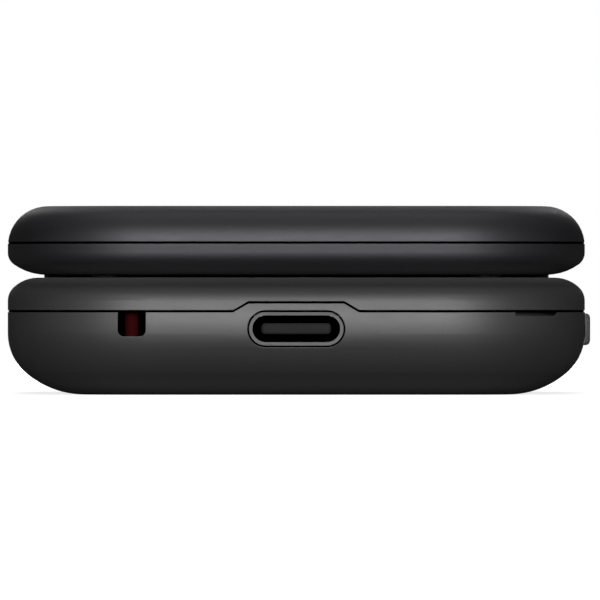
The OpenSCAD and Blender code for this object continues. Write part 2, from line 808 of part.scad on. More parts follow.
module key_mat() {
    color("#d8d8d2") difference() {
        plate(mat_z, mat_top) pad_outline(0.3);
        // thin hinges round each key pad
        for (y = [row_y(0), row_y(1), row_y(2)]) translate([0, y - row_pitch / 2, 0])
            plate(mat_z + mat_t / 2, mat_top + 1) square([3 * column_pitch, 0.5], center = true);
        for (x = [-0.5, 0.5]) translate([x * column_pitch, (row_y(0) + row_y(3)) / 2, 0])
            plate(mat_z + mat_t / 2, mat_top + 1) square([0.5, 4 * row_pitch], center = true);
    }
}

module volume_key() {
    inner = half_w - back_wall - 0.55;
    color("#5a5a5d") union() {
        // cap with round outer edges
        along(side_key_y - side_key_l / 2, side_key_y + side_key_l / 2) {
            translate([inner, side_key_z - side_key_h / 2])
                square([half_w + side_key_proud - 0.5 - inner, side_key_h]);
            translate([inner, side_key_z - side_key_h / 2 + 0.5])
                square([half_w + side_key_proud - inner, side_key_h - 1]);
            for (z = [0.5, side_key_h - 0.5])
                translate([half_w + side_key_proud - 0.5, side_key_z - side_key_h / 2 + z]) circle(0.5);
        }
        // flange behind the wall
        block([inner - 0.6, side_key_y - side_key_l / 2 - 0.8, side_key_z - side_key_h / 2],
            [inner, side_key_y + side_key_l / 2 + 0.8, side_key_z + side_key_h / 2]);
    }
}

module side_switches() {
    back = battery_w / 2 + bay_play + bay_rib;
    front = half_w - back_wall - 1.15 - 0.3;
    color("#b9bcc0") for (side = [-1, 1])
        block([back, side_key_y + side * side_key_l / 3 - 2, side_key_z - 1.1],
            [front, side_key_y + side * side_key_l / 3 + 2, floor_z - 0.02]);
}

module strap_post() {
    color("#5c1216") translate([-strap_x, post_y, 0]) plate(post_z, wall_under) circle(post_d / 2);
}

// Screw with its head down, and a six-sided recess in the head
module screw(head_z, tip_z) {
    difference() {
        union() {
            plate(head_z, tip_z) circle(screw_d / 2);
            plate(head_z - screw_head_h, head_z) circle(screw_head_d / 2);
        }
        plate(head_z - screw_head_h - 1, head_z - 0.3) circle(screw_drive_d / 2, $fn = 6);
    }
}

module base_screws() {
    color("#77797c") at_screws() screw(floor_z - 0.3, wall_under - 0.3);
}

module antenna() {
    w = chin_out - 0.2 - chin_in;
    color("#b8863b") translate([chin_in + w / 2, chin_y_mid, 0])
        plate(floor_z - antenna_t, floor_z) difference() {
            round_rect(w, antenna_l, 1);
            for (side = [-1, 1]) translate([side * 1.5, side * 2.5]) square([w - 0.6, 1], center = true);
        }
}

// ---------- Hinge ----------

module hinge_cam() {
    color("#a9abae") union() {
        rod(1.75, -ear_half + cap_t, -ear_in);
        rod(3.6, -ear_in, -knuckle_half - 0.04);
        rod(1.3, -ear_in, -cam_x);
    }
}

module hinge_pin() {
    color("#a9abae") difference() {
        union() {
            rod(pin_d / 2, pin_in, pin_out);
            rod(3.6, knuckle_half + 0.04, ear_in);
        }
        rod(pin_d / 2 - pin_wall, pin_in - 1, pin_out + 1);
    }
}

// Rolled flex in the pin with its tail down to the board
module hinge_flex() {
    color("#b5701f") union() {
        rod(1.2, pin_in + 0.4, pin_out + 2.6);
        translate([pin_out + 0.4, hinge_y, hinge_z]) rotate([45, 0, 0])
            block([0, -5.6, -0.15], [2.2, 0, 0.15]);
        block([pin_out + 0.4, board_end_y - 2, board_top], [pin_out + 2.6, hinge_y - 3.6, board_top + 0.3]);
    }
}

module hinge_cartridge() {
    color("#8f9194") difference() {
        rod(cartridge_d / 2, -knuckle_half, -1);
        rod(1.3 + running_play / 2, -knuckle_half - 1, -cam_x + 0.5);
    }
}

// ---------- Lid ----------

// Clear of the outer knuckles through the whole swing
module ear_clearance(half_in) {
    for (side = [0, 1]) mirror([side, 0, 0]) {
        rod(trough_r, half_in, ear_slot);
        block([half_in, lid_end_y, lid_z - 5], [ear_slot, hinge_y + 2 * barrel_r, lid_top + 1]);
    }
}

module lid_frame_section() {
    difference() {
        intersection() { lid_profile(); band(lid_z - 1, lid_seam - seam_gap / 2); }
        lid_profile(lid_wall);
    }
    translate([end_corner_r - lid_wall - 0.15 - lip_t, lid_z + inner_round_h])
        square([lip_t, lid_seam_h - inner_round_h + lid_lip_rise]);
    translate([end_corner_r - lid_wall - 0.15 - lip_t, lid_z + inner_round_h])
        square([lip_t + 0.3, lid_seam_h - seam_gap / 2 - inner_round_h]);
}

module lid_frame() {
    color("#29292b") difference() {
        union() {
            around() lid_frame_section();
            core(lid_z, lid_floor);
            intersection() {
                across(-ear_slot - lid_wall, ear_slot + lid_wall) intersection() {
                    trough_wall(lid_wall);
                    translate([hinge_y - 2 * trough_r, lid_z])
                        square([2 * trough_r, lid_seam_h - seam_gap / 2]);
                }
                around_end() lid_profile();
            }
            rod(barrel_r, -knuckle_half, knuckle_half);
            block([-knuckle_half, hinge_y - 7, lid_z], [knuckle_half, hinge_y, lid_seam - seam_gap / 2]);
        }
        ear_clearance(knuckle_half);
        for (side = [0, 1]) mirror([side, 0, 0])
            block([knuckle_half, hinge_y - trough_r - lid_wall - 0.1, lid_seam - seam_gap / 2],
                [ear_slot + lid_wall + 0.1, hinge_y, lid_top]);
        // window seat and opening
        translate([0, pane_y, 0]) plate(lid_z - 1, lid_z + pane_t + 0.05)
            round_rect(pane_w + 0.2, pane_l + 0.2, 3.1);
        translate([0, view_y, 0]) plate(lid_z - 1, lid_floor + 1)
            square([view_w + 0.6, view_l + 0.6], center = true);
        translate([0, earpiece_y, 0]) plate(lid_z - 1, lid_floor + 1) stadium(9, 1.6);
        at_screws() plate(lid_z - 1, lid_z + 1) circle(screw_head_d / 2 + 0.15);
        at_screws() plate(lid_z - 1, lid_floor + 2) circle(screw_d / 2 + 0.1);
        rod(cartridge_d / 2, -knuckle_half - 1, -1);
        rod(pin_d / 2 + running_play / 2, pin_in - 0.3, knuckle_half + 1);
    }
}

module lid_cover_section() {
    difference() {
        intersection() { lid_profile(); band(lid_seam - seam_gap / 2, lid_top + 1); }
        lid_profile(lid_wall);
        groove(lid_seam);
    }
}

module lid_cover() {
    color("#2d2d30") difference() {
        union() {
            around() lid_cover_section();
            core(lid_top - lid_wall, lid_top);
            intersection() {
                across(-ear_slot - lid_wall, ear_slot + lid_wall) intersection() {
                    trough_wall(lid_wall);
                    translate([hinge_y - 2 * trough_r, lid_seam + seam_gap / 2])
                        square([2 * trough_r, lid_top - lid_seam - 1]);
                }
                around_end() lid_profile();
            }
            at_screws() plate(lid_floor + 0.1, lid_top - lid_wall + 0.1) circle(boss_r);
        }
        ear_clearance(0);
        translate([0, outer_pane_y, 0]) plate(lid_top - outer_pane_t, lid_top + 1)
            round_rect(outer_pane_w + 0.2, outer_pane_l + 0.2, 5.1);
        translate([0, outer_display_y, 0]) plate(lid_top - lid_wall - 1, lid_top)
            square([outer_display_w - 2, outer_display_l - 2], center = true);
        translate([0, camera_y, 0]) plate(lid_top - lid_wall - 1, lid_top) circle(camera_ring_d / 2);
        translate([flash_x, camera_y, 0]) plate(lid_top - lid_wall - 1, lid_top) square([3, 3], center = true);
        at_screws() plate(lid_z, lid_top - lid_wall - 0.3) circle(screw_d / 2);
    }
}

module cover_window() {
    color("#0c0c0e") translate([0, outer_pane_y, 0]) difference() {
        plate(lid_top - outer_pane_t, lid_top - 0.03) round_rect(outer_pane_w, outer_pane_l, 5);
        translate([0, camera_y - outer_pane_y, 0]) plate(0, lid_top + 1) circle(camera_ring_d / 2 + 0.05);
    }
}

module outer_display() {
    color("#1a1d22") translate([0, outer_display_y, 0])
        plate(outer_display_z, outer_display_z + outer_display_t)
            round_rect(outer_display_w, outer_display_l, 0.6);
}

module camera_module() {
    color("#151517") translate([0, camera_y, 0]) difference() {
        union() {
            plate(lid_floor + 0.1, lid_top - lid_wall - 0.4) square([camera_w, camera_w], center = true);
            plate(lid_floor + 1, lid_top - 0.9) circle(camera_w / 2 - 0.3);
        }
        // stepped cone in front of the lens
        translate([0, 0, lid_top - 1.6]) cylinder(r1 = 1.5, r2 = 2.4, h = 0.8);
        plate(lid_top - 2.3, lid_top - 1.5) circle(1.3);
    }
}

// Flat glass on the ledge inside the ring
module camera_glass() {
    color("#1c1d22") translate([0, camera_y, 0])
        plate(lid_top - camera_seat, lid_top - camera_seat + camera_glass_t)
            circle(camera_ring_d / 2 - camera_seat - 0.05);
}

module camera_ring() {
    color("#8a8c90") translate([0, camera_y, 0]) difference() {
        plate(lid_top - lid_wall - 0.2, lid_top) circle(camera_ring_d / 2);
        plate(lid_top - camera_seat, lid_top + 1) circle(camera_ring_d / 2 - camera_seat);
        plate(lid_top - lid_wall - 1, lid_top) circle(camera_w / 2);
    }
}

module flash_led() {
    color("#e8dfae") translate([flash_x, camera_y, 0]) plate(lid_top - lid_wall - 0.4, lid_top - outer_pane_t)
        square([2.8, 2.8], center = true);
}

module main_window() {
    color("#0b0b0d") translate([0, pane_y, 0])
        plate(lid_z + 0.04, lid_z + pane_t) round_rect(pane_w, pane_l, 3);
}

module main_display() {
    color("#17181b") translate([0, view_y, 0]) plate(display_z, display_z + display_t)
        round_rect(display_w, display_l, 0.8);
}

module earpiece() {
    color("#1c1c1e") translate([0, earpiece_y, 0]) plate(lid_floor, lid_floor + 2.4) round_rect(11, 6, 2);
}

module earpiece_mesh() {
    color("#3a3a3c") translate([0, earpiece_y, 0]) plate(lid_z + 0.3, lid_floor) stadium(8.9, 1.5);
}

module lid_board() {
    color("#1f5b3a") translate([0, view_y, 0]) plate(lid_board_z, lid_board_z + lid_board_t)
        round_rect(display_w - 2, display_l - 2, 1);
}

module lid_screws() {
    color("#77797c") at_screws() screw(lid_z + 1, lid_top - lid_wall - 0.6);
}

module lid_bumpers() {
    color("#151516") at_screws() plate(base_t + 0.06, lid_z + 1 - screw_head_h) circle(screw_head_d / 2 + 0.1);
}

module vibration_motor() {
    color("#a7aaae") translate([6 - chin_screw.x, chin_y + 7.5, 0])
        plate(lid_floor, lid_floor + 2.7) circle(3.5);
}

module lid_magnet() {
    color("#6f7174") translate([chin_screw.x - 5, chin_y + 8, 0]) plate(lid_floor, lid_floor + 1.6)
        square([5, 2.4], center = true);
}

front_housing();
chassis();
back_cover();
battery();
battery_contacts();
main_board();
shield_cans();
card_sockets();
usb_shell();
usb_tongue();
loudspeaker();
speaker_mesh();
microphone();
dome_sheet();
key_mat();
volume_key();
side_switches();
strap_post();
base_screws();
antenna();
hinge_cam();
hinge_pin();
hinge_flex();
nav_ring();
ok_key();
soft_key_left();
soft_key_right();
call_key();
end_key();
clear_key();
number_key(0, 0);  // key_1
number_key(1, 0);  // key_2
number_key(2, 0);  // key_3
number_key(0, 1);  // key_4
number_key(1, 1);  // key_5
number_key(2, 1);  // key_6
number_key(0, 2);  // key_7
number_key(1, 2);  // key_8
number_key(2, 2);  // key_9
number_key(0, 3);  // key_star
number_key(1, 3);  // key_0
number_key(2, 3);  // key_hash
lid_frame();
lid_cover();
cover_window();
outer_display();
camera_module();
camera_ring();
camera_glass();
flash_led();
main_window();
main_display();
earpiece();
earpiece_mesh();
lid_board();
lid_screws();
lid_bumpers();
vibration_motor();
lid_magnet();
hinge_cartridge();
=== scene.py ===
"""Clamshell phone: finishes, printed legends, lens and port details, light and camera.

Everything is in metres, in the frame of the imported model: X across, Y from chin to hinge, Z up.
"""

import json
import math

import bmesh
import bpy
from mathutils import Matrix, Vector


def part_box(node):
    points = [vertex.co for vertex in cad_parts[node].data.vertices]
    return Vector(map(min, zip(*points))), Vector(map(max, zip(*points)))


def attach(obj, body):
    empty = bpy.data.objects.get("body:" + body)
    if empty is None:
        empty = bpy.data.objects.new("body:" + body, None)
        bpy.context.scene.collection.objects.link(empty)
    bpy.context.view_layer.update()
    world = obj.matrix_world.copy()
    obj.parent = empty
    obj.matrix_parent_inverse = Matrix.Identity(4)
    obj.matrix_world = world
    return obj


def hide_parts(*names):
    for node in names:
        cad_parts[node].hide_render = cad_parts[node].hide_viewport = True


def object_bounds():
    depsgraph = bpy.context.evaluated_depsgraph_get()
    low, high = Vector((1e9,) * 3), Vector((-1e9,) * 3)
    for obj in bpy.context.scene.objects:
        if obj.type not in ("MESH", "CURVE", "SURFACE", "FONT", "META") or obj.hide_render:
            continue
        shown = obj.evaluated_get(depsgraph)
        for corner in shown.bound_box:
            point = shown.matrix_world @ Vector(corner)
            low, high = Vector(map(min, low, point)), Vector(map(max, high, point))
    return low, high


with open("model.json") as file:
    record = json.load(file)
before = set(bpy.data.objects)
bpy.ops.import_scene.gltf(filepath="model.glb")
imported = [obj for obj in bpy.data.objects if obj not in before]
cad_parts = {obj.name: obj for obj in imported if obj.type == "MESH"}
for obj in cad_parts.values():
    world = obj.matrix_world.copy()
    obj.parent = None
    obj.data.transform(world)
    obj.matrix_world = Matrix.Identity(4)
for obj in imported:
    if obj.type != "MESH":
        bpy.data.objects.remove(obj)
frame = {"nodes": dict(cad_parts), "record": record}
cad_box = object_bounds()
MM = 0.001
chin_y = cad_box[0][1]


# ---------- Measures of the phone ----------

# Seams of the base and the lid, and the gap along them
BASE_SEAM = 7.95 * MM
LID_SEAM = 14.45 * MM
SEAM_GAP = 0.2 * MM

# Climb of the base seam over the socket, from its foot to its top on either side of the middle
JOG_RISE = 0.84 * MM
JOG_FOOT = 5.97 * MM
JOG_TOP = 4.54 * MM

# Openings in the chin over X and Z: the socket, the space round it, and the strap's pocket
PORT_MIDDLE = (0.0, 6.28 * MM)
PORT_SIZE = (8.94 * MM, 3.16 * MM)
PORT_ROOM = (9.8 * MM, 4.0 * MM)
STRAP_MIDDLE = (-15.6 * MM, 6.65 * MM)
STRAP_ROOM = (2.75 * MM, 2.6 * MM)
ROOM_END = 9 * MM

# Tongue of the socket and the block that carries it: width, height, corner radius, and their ends
TONGUE = (6.6 * MM, 1.05 * MM, 0.38 * MM)
TONGUE_ENDS = (1.1 * MM, 6.0 * MM)
ROOT = (8.3 * MM, 2.5 * MM, 1.24 * MM)
ROOT_ENDS = (5.5 * MM, 7.5 * MM)

# Hinge axis, and the ends of its barrel on either side
HINGE_Y = 48.2 * MM
HINGE_Z = 12.6 * MM
EAR_END = 24.0 * MM

# Grip of the volume key: its length and corners, and how deep it starts in the key's outer face
GRIP_LENGTH = 22 * MM
GRIP_CORNER = 0.7 * MM
GRIP_START = 0.45 * MM

# Gaskets: depths of their faces in the groove, half their height, and where they end toward the hinge
GASKET_OUT = 0.07 * MM
GASKET_IN = 0.24 * MM
GASKET_HALF = 0.09 * MM
GASKET_END = 40 * MM

# Camera's lens, the depth of its well under the glass, and the clear spot over the flash
DOME_RADIUS = 1.27 * MM
DOME_HEIGHT = 0.55 * MM
WELL_DEPTH = 1.95 * MM
FLASH_SPOT = 1.2 * MM

# Faint crown of each half's outer wall: middle height, reach and rise
BASE_CROWN = (6.9 * MM, 3.0 * MM, 0.75 * MM)
LID_CROWN = (15.7 * MM, 2.6 * MM, 0.30 * MM)

EDGE_ROUND = 0.12 * MM
INK = 0.010 * MM
INK_LIFT = 0.012 * MM
NUMERAL_SIZE = 4.6 * MM

# Painted shade: near-black colour put on seam grooves and on the walls inside the strap's pocket and the
# socket's room
PAINTED_SHADE = (0.0003, 0.0003, 0.0003)


# ---------- Shader writing ----------


class Wire:
    """A shader value that can be reckoned with, on either side of a number or another wire."""

    def __init__(self, paint, socket):
        self.paint = paint
        self.socket = socket

    def sum(self, operation, first, second=None):
        inputs = {0: first} if second is None else {0: first, 1: second}
        return self.paint.node("ShaderNodeMath", {"operation": operation}, inputs)

    def __add__(self, other):
        return self.sum("ADD", self, other)

    def __radd__(self, other):
        return self.sum("ADD", other, self)

    def __sub__(self, other):
        return self.sum("SUBTRACT", self, other)

    def __rsub__(self, other):
        return self.sum("SUBTRACT", other, self)

    def __mul__(self, other):
        return self.sum("MULTIPLY", self, other)

    def __rmul__(self, other):
        return self.sum("MULTIPLY", other, self)

    def __truediv__(self, other):
        return self.sum("DIVIDE", self, other)

    def __pow__(self, power):
        return self.sum("POWER", self, power)

    def __gt__(self, other):
        return self.sum("GREATER_THAN", self, other)

    def __lt__(self, other):
        return self.sum("LESS_THAN", self, other)

    def __abs__(self):
        return self.sum("ABSOLUTE", self)

    def least(self, other):
        return self.sum("MINIMUM", self, other)

    def most(self, other):
        return self.sum("MAXIMUM", self, other)

    def held(self):
        """The value kept between 0 and 1."""
        return self.most(0.0).least(1.0)

    def root(self):
        return self.sum("SQRT", self)

    def exponent(self):
        return self.sum("EXPONENT", self)

    def sine(self):
        return self.sum("SINE", self)

    def waves(self, pitch):
        """A sine that comes round once in pitch."""
        return (self / pitch * math.tau).sine()


class Paint:
    """The node tree of a material or of the world, its shader, and the ways to feed it."""

    def __init__(self, owner, shader="Principled BSDF"):
        owner.use_nodes = True
        self.owner = owner
        self.tree = owner.node_tree
        self.shader = self.tree.nodes[shader]

    def feed(self, socket, value):
        if isinstance(value, Wire):
            self.tree.links.new(value.socket, socket)
        elif socket.type == "RGBA" and len(value) == 3:
            socket.default_value = (*value, 1)
        else:
            socket.default_value = value

    def node(self, kind, settings=None, inputs=None, out=0):
        """Any node: its settings first, then the values or links of its sockets."""
        made = self.tree.nodes.new(kind)
        for name, value in (settings or {}).items():
            setattr(made, name, value)
        for name, value in (inputs or {}).items():
            self.feed(made.inputs[name], value)
        return Wire(self, made.outputs[out])

    def set(self, **sockets):
        for name, value in sockets.items():
            self.feed(self.shader.inputs[name.replace("_", " ")], value)
        return self.owner

    def mix(self, first, second, amount):
        return self.node("ShaderNodeMix", {"data_type": "RGBA"}, {0: amount, 6: first, 7: second}, out=2)

    def place(self):
        return self.node("ShaderNodeTexCoord", out="Object")

    def axis(self, name, place=None):
        return self.node("ShaderNodeSeparateXYZ", inputs={0: place or self.place()}, out=name)

    def aside(self, middle):
        """Distance over X and Y from an upright line through middle."""
        across = self.axis("X") - middle.x
        along = self.axis("Y") - middle.y
        return (across * across + along * along).root()

    def facing(self):
        """0 where the surface faces the eye, and 1 where it is seen edge on."""
        return self.node("ShaderNodeLayerWeight", inputs={"Blend": 0.5}, out="Facing")

    def stretched(self, scale):
        inputs = {0: self.place(), 1: scale}
        return self.node("ShaderNodeVectorMath", {"operation": "MULTIPLY"}, inputs)

    def noise(self, size, detail=2.0, stretch=(1, 1, 1)):
        inputs = {"Vector": self.stretched(stretch), "Scale": 1 / size, "Detail": detail}
        return self.node("ShaderNodeTexNoise", inputs=inputs)

    def bump(self, height, depth, under=None):
        inputs = {"Strength": 1.0, "Distance": depth, "Height": height}
        if under is not None:
            inputs["Normal"] = under
        return self.node("ShaderNodeBump", inputs=inputs)


def new_paint(name, **fixed):
    paint = Paint(bpy.data.materials.new(name))
    paint.set(**fixed)
    return paint


def scaled(colour, factor):
    return tuple(factor * c for c in colour)


def middle_of(box):
    low, high = box
    return (low + high) / 2


# ---------- Masks: 1 inside, 0 outside ----------


def box_mask(paint, centre, size, soft=0.05 * MM):
    """A rectangle of X and Y, with edges that fade over soft."""
    mask = None
    for name, middle, length in zip("XY", centre, size):
        inside = ((length / 2 - abs(paint.axis(name) - middle)) / soft).held()
        mask = inside if mask is None else mask * inside
    return mask


def groove_at(paint, middle):
    """The gap of a seam whose middle lies at this height, and a little more."""
    return abs(paint.axis("Z") - middle) < SEAM_GAP / 2 + 0.01 * MM


def base_groove(paint):
    """The groove between housing and cover, which climbs over the socket."""
    climb = ((JOG_FOOT - abs(paint.axis("X"))) / (JOG_FOOT - JOG_TOP)).held()
    front = paint.axis("Y") < chin_y + 3 * MM
    return groove_at(paint, BASE_SEAM + JOG_RISE * climb * front)


def lid_groove(paint):
    return groove_at(paint, LID_SEAM)


def sunk(paint, centre, size, depth):
    """A room of X and Z that opens through the chin, beyond depth from its mouth."""
    inside = (paint.axis("Y") > chin_y + depth) * (paint.axis("Y") < chin_y + ROOM_END)
    for name, middle, length in zip("XZ", centre, size):
        inside = inside * (abs(paint.axis(name) - middle) < length / 2)
    return inside


def rooms(paint):
    """The strap's pocket and the space round the socket, where shade is painted."""
    pocket = sunk(paint, STRAP_MIDDLE, STRAP_ROOM, 0.6 * MM)
    return pocket.most(sunk(paint, PORT_MIDDLE, PORT_ROOM, 0.25 * MM))


# Where shade is painted on the housing: its seam groove, the strap's pocket and the space round the socket
def base_hidden(paint):
    return base_groove(paint).most(rooms(paint))


def over_screens(paint):
    """The clear fields of both panes, inside their black borders."""
    clear = None
    for screen, border in (("main_display", 1.4 * MM), ("outer_display", 2.2 * MM)):
        low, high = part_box(screen)
        middle = (low + high) / 2
        size = (high.x - low.x - 2 * border, high.y - low.y - 2 * border)
        near = abs(paint.axis("Z") - middle.z) / (2.4 * MM) < 1.0
        field = box_mask(paint, (middle.x, middle.y), size, 0.08 * MM) * near
        clear = field if clear is None else clear + field
    return clear


def over_flash(paint):
    """The round clear spot of the outer pane over the flash."""
    low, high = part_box("flash_led")
    reach = paint.aside((low + high) / 2)
    return ((FLASH_SPOT - reach) / (0.1 * MM)).held() * (paint.axis("Z") > low.z)


# ---------- Finishes ----------


def spark_texture(paint, depth, under=None):
    """The fine pits of an eroded mould, over a faint swell of the wall."""
    pits = paint.noise(0.09 * MM, 3.0)
    swell = paint.noise(6 * MM, 1.0)
    return paint.bump(swell, 4 * depth, paint.bump(pits, depth, under))


def crown(paint, middle, reach, rise):
    """Faint crown of a wall between its rounds, as height over Z."""
    along = (paint.axis("Z") - middle) / reach
    return rise * (0.0 - along * along).exponent()


def chin_gloss(paint, rough, amount):
    """Roughness, less by up to amount on walls of the chin seen edge on, and more on level faces."""
    normal = paint.node("ShaderNodeTexCoord", out="Normal")
    level = ((abs(paint.axis("Z", normal)) - 0.8) / 0.19).held()
    chin = (0.0 - paint.axis("Y", normal)).most(0.0)
    return rough - amount * paint.facing() * chin * (1.0 - level) + 0.3 * level


def moulded(name, colour, rough, depth=0.004 * MM, specular=0.3, form=None, shade=None, edge_gloss=0.0,
            tint=(1, 1, 1)):
    """Moulded plastic, glossier on the chin at a flat angle by edge_gloss.

    form is the crown of its wall, and shade is a mask that is 1 where shade is painted: near-black colour,
    full metal and full roughness.
    """
    paint = new_paint(name, Specular_IOR_Level=specular, Specular_Tint=tint)
    grain = paint.noise(0.16 * MM, 2.0)
    cloud = paint.noise(6 * MM, 3.0, (0.2, 1, 1.4))
    streak = paint.noise(0.3 * MM, 3.0, (0.35, 1, 1))
    tone = paint.mix(scaled(colour, 0.82), scaled(colour, 1.2), 0.5 * grain + 0.5 * cloud)
    rough = rough - 0.09 + 0.05 * grain + 0.04 * cloud + 0.10 * streak
    if edge_gloss:
        rough = chin_gloss(paint, rough, edge_gloss)
    if shade is not None:
        # Painted shade: near-black colour, full metal and full roughness where the mask is 1
        shade_mask = shade(paint)
        tone = paint.mix(tone, PAINTED_SHADE, shade_mask)
        rough = rough.most(shade_mask)
        paint.set(Metallic=shade_mask)
    paint.set(Base_Color=tone, Roughness=rough)
    edges = paint.node("ShaderNodeBevel", {"samples": 4}, {"Radius": EDGE_ROUND})
    under = edges if form is None else paint.bump(crown(paint, *form), 1.0, edges)
    return paint.set(Normal=spark_texture(paint, depth, under))


# Painted shade in its seam groove, the strap's pocket and the space round the socket
def housing_black():
    return moulded("housing_black", (0.016, 0.016, 0.016), 0.59, specular=0.95, form=BASE_CROWN,
                   shade=base_hidden, edge_gloss=0.12)


# Painted shade in the lid's seam groove
def lid_black():
    return moulded("lid_black", (0.0036, 0.0036, 0.0042), 0.62, specular=0.8, form=LID_CROWN,
                   shade=lid_groove, edge_gloss=0.4, tint=(0.94, 0.93, 1.0))


# Painted shade on its walls inside the strap's pocket and the socket's room, the tongue's block included
def inner_plastic():
    return moulded("inner_plastic", (0.012, 0.012, 0.013), 0.55, shade=rooms)


def key_black():
    return moulded("key_black", (0.018, 0.018, 0.020), 0.38, 0.002 * MM)


def nav_gloss():
    paint = new_paint("nav_gloss", Coat_Roughness=0.12, Coat_IOR=1.45)
    cloud = paint.noise(4 * MM, 2.0)
    paint.set(Base_Color=paint.mix((0.026, 0.026, 0.030), (0.036, 0.036, 0.041), cloud))
    paint.set(Roughness=0.30 + 0.08 * cloud, Coat_Weight=0.35 + 0.2 * cloud)
    return paint.set(Normal=spark_texture(paint, 0.001 * MM))


def side_key_grey():
    return moulded("side_key_grey", (0.125, 0.125, 0.130), 0.42, 0.002 * MM)


def post_red():
    return moulded("post_red", (0.0232, 0.0015, 0.0019), 0.75, 0.002 * MM, 0.02)


def tongue_plastic():
    return moulded("tongue_plastic", (0.0125, 0.0125, 0.0130), 0.8, 0.002 * MM, 0.2)


def turned_steel(name, colour, rough, stretch):
    """Metal with fine lines of tooling, drawn out along the axis whose stretch is small, with painted shade
    inside the strap's pocket and the socket's room.
    """
    paint = new_paint(name, Metallic=1.0)
    lines = paint.noise(0.05 * MM, 2.0, stretch)
    cloud = paint.noise(2.5 * MM, 2.0)
    metal = paint.mix(scaled(colour, 0.8), colour, 0.6 * lines + 0.4 * cloud)
    # Painted shade: near-black colour inside the strap's pocket and the socket's room
    paint.set(Base_Color=paint.mix(metal, PAINTED_SHADE, rooms(paint)))
    paint.set(Roughness=rough + 0.12 * cloud)
    return paint.set(Normal=paint.bump(lines, 0.001 * MM))


def port_steel():
    """Dark satin plate on the socket's shell, with painted shade (near-black, metallic, fully rough) behind
    its mouth.
    """
    paint = new_paint("port_steel", Specular_IOR_Level=0.9)
    cloud = paint.noise(0.4 * MM, 2.0)
    width, height = PORT_SIZE
    mouth = sunk(paint, PORT_MIDDLE, (width - 0.1 * MM, height - 0.1 * MM), 0.3 * MM)
    plate = paint.mix((0.024, 0.024, 0.025), (0.034, 0.034, 0.036), cloud)
    # Painted shade: near-black metal behind the socket's mouth
    paint.set(Base_Color=paint.mix(plate, PAINTED_SHADE, mouth), Metallic=mouth)
    paint.set(Roughness=(0.58 + 0.1 * cloud).most(mouth))
    return paint.set(Normal=paint.bump(cloud, 0.002 * MM))


def fastener_steel():
    return turned_steel("fastener_steel", (0.34, 0.34, 0.36), 0.30, (1, 1, 0.1))


def tinned_steel():
    return turned_steel("tinned_steel", (0.52, 0.53, 0.55), 0.32, (0.1, 1, 1))


def gold_contact():
    return turned_steel("gold_contact", (0.72, 0.50, 0.17), 0.26, (1, 0.2, 1))


def board_green():
    """Solder mask with the tracks of copper showing through as paler lanes, and painted shade where it shows
    in the strap's pocket and the socket's room.
    """
    paint = new_paint("board_green", Coat_Roughness=0.15)
    lanes = paint.axis("X").waves(0.8 * MM) * (paint.axis("Y") / (5 * MM)).sine()
    tracks = lanes > 0.35
    cloud = paint.noise(3 * MM)
    mask = paint.mix((0.008, 0.062, 0.034), (0.016, 0.115, 0.062), tracks)
    # Painted shade: near-black colour where the board shows inside the pocket and the socket's room
    paint.set(Base_Color=paint.mix(mask, PAINTED_SHADE, rooms(paint)))
    paint.set(Roughness=0.32 + 0.1 * cloud, Coat_Weight=0.4 + 0.2 * cloud)
    return paint.set(Normal=paint.bump(tracks, 0.01 * MM))


def battery_wrap():
    """Dark film with a plain paler field."""
    paint = new_paint("battery_wrap", Specular_IOR_Level=0.45)
    middle = middle_of(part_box("battery"))
    field = box_mask(paint, (middle.x, middle.y - 4 * MM), (34 * MM, 30 * MM))
    wrinkle = paint.noise(3 * MM, 3.0, (1, 0.3, 1))
    paint.set(Base_Color=paint.mix((0.042, 0.042, 0.046), (0.16, 0.16, 0.165), field))
    paint.set(Roughness=0.34 + 0.15 * wrinkle)
    return paint.set(Normal=paint.bump(wrinkle, 0.04 * MM))


def unit_black():
    return moulded("unit_black", (0.010, 0.010, 0.011), 0.42)


def mesh_cloth():
    """Acoustic mesh: two crossing sets of fine threads."""
    paint = new_paint("mesh_cloth")
    pitch = 0.16 * MM
    threads = paint.axis("X").waves(pitch).most(paint.axis("Y").waves(pitch)) * 0.5 + 0.5
    paint.set(Base_Color=paint.mix((0.002, 0.002, 0.002), (0.030, 0.030, 0.031), threads))
    paint.set(Roughness=0.75 - 0.2 * threads)
    return paint.set(Normal=paint.bump(threads, 0.03 * MM))


def mat_silicone():
    paint = new_paint("mat_silicone", Subsurface_Weight=0.2, Subsurface_Scale=1 * MM)
    cloud = paint.noise(3 * MM, 2.0)
    paint.set(Base_Color=paint.mix((0.55, 0.55, 0.53), (0.66, 0.66, 0.64), cloud))
    paint.set(Roughness=0.5 + 0.1 * cloud)
    return paint.set(Normal=paint.bump(cloud, 0.02 * MM))


def dome_film():
    paint = new_paint("dome_film", Metallic=0.6)
    cloud = paint.noise(2 * MM, 2.0)
    paint.set(Base_Color=paint.mix((0.40, 0.42, 0.45), (0.50, 0.52, 0.55), cloud))
    paint.set(Roughness=0.25 + 0.15 * cloud)
    return paint.set(Normal=paint.bump(cloud, 0.02 * MM))


def bumper_rubber():
    return moulded("bumper_rubber", (0.010, 0.010, 0.010), 0.7, 0.004 * MM, 0.25)


# Painted shade: near-black, fully rough metal that keeps the seam groove black under the front lamp
def gasket_black():
    paint = new_paint("gasket_black", Metallic=1.0)
    wear = paint.noise(0.5 * MM)
    paint.set(Base_Color=paint.mix((0.0002, 0.0002, 0.0002), (0.0008, 0.0008, 0.0008), wear))
    return paint.set(Roughness=0.9 + 0.1 * wear)


